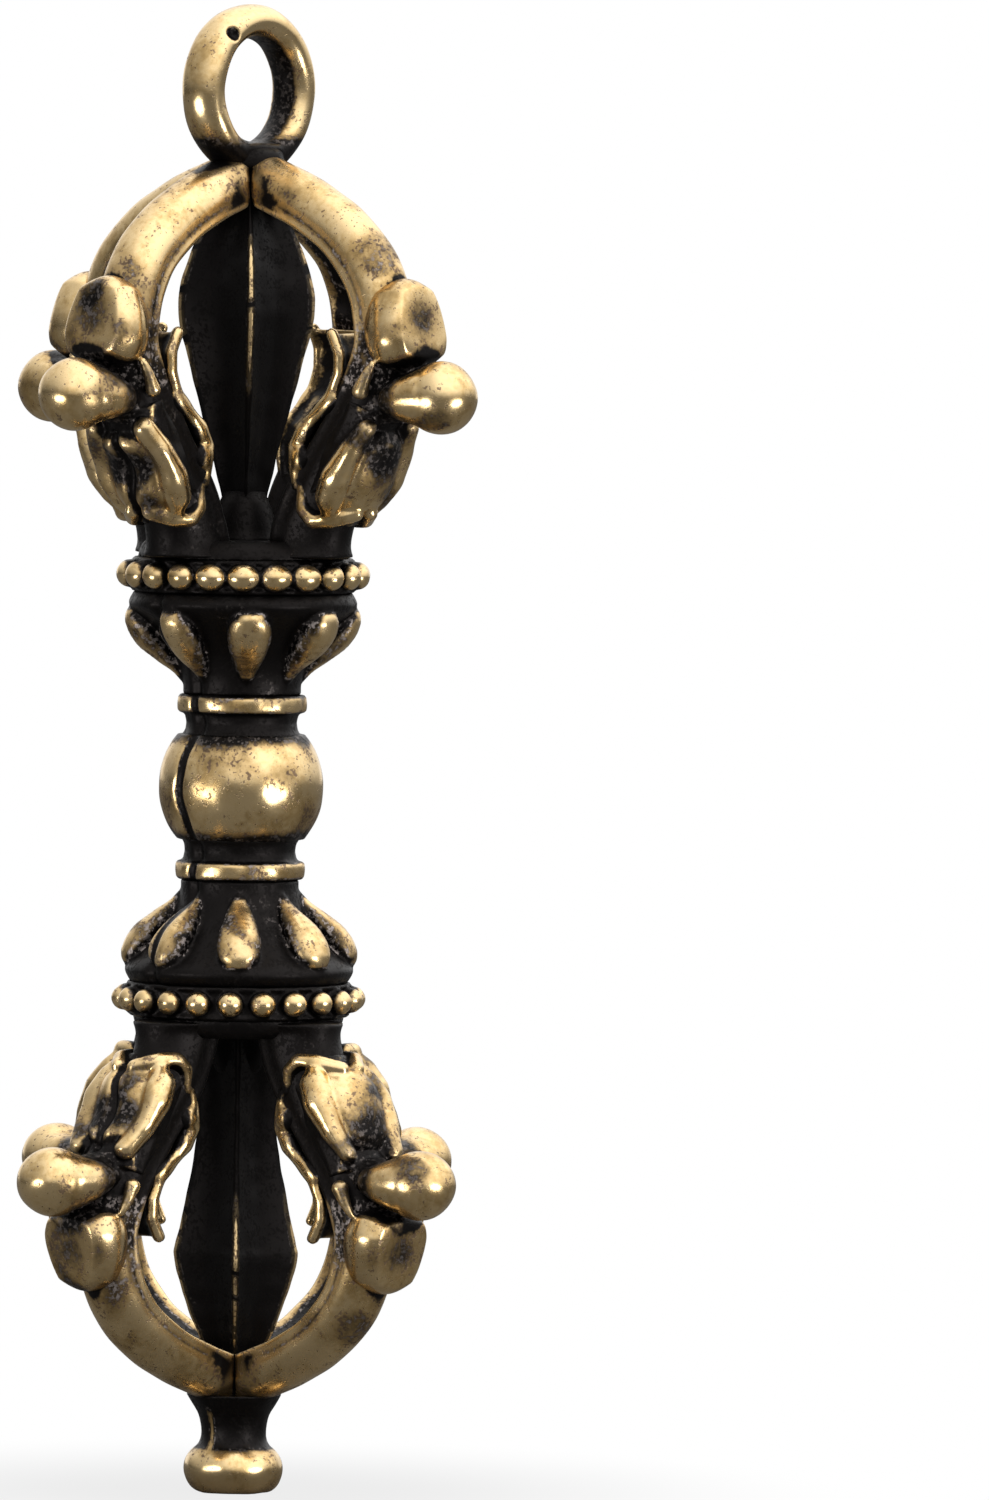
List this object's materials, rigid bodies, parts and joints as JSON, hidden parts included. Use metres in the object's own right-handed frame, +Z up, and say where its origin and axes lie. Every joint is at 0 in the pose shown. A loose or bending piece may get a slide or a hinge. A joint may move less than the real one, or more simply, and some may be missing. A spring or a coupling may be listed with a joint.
{
  "type": "dorje vajra pendant",
  "caption": "Dorje vajra pendant in antiqued brass: ball grip between lotus cups, cages of curved makara-headed prongs around a central blade, hanging loop on top and button foot.",
  "frame": {"origin": "middle of the flat under the bottom knob", "axes": "+Z up along the dorje's axis towards the hanging loop, with the loop's hole along Y and the upper prongs on the X and Y axes"},
  "size_m": [0.0196, 0.0196, 0.05],
  "materials": {
    "antique_brass": "antiqued, satin, with dark patina in the recesses",
    "polished_brass": "antiqued, worn bright on the raised places",
    "blackened_brass": "blackened patina, worn bright along the edges"
  },
  "bodies": {
    "root": {"core_rod": "antique_brass", "center_ball": "polished_brass", "upper_collar": "antique_brass", "lower_collar": "antique_brass", "upper_lotus": "antique_brass", "lower_lotus": "antique_brass", "upper_bead_ring": "polished_brass", "lower_bead_ring": "polished_brass", "upper_seat": "blackened_brass", "lower_seat": "blackened_brass", "upper_blade": "blackened_brass", "lower_blade": "blackened_brass", "upper_prong_1": "antique_brass", "upper_prong_2": "antique_brass", "upper_prong_3": "antique_brass", "upper_prong_4": "antique_brass", "lower_prong_1": "antique_brass", "lower_prong_2": "antique_brass", "lower_prong_3": "antique_brass", "lower_prong_4": "antique_brass", "upper_head_1": "polished_brass", "upper_head_2": "polished_brass", "upper_head_3": "polished_brass", "upper_head_4": "polished_brass", "lower_head_1": "polished_brass", "lower_head_2": "polished_brass", "lower_head_3": "polished_brass", "lower_head_4": "polished_brass", "crown_cap": "blackened_brass", "hanging_loop": "polished_brass", "finial_knob": "polished_brass"}
  },
  "joints": []
}
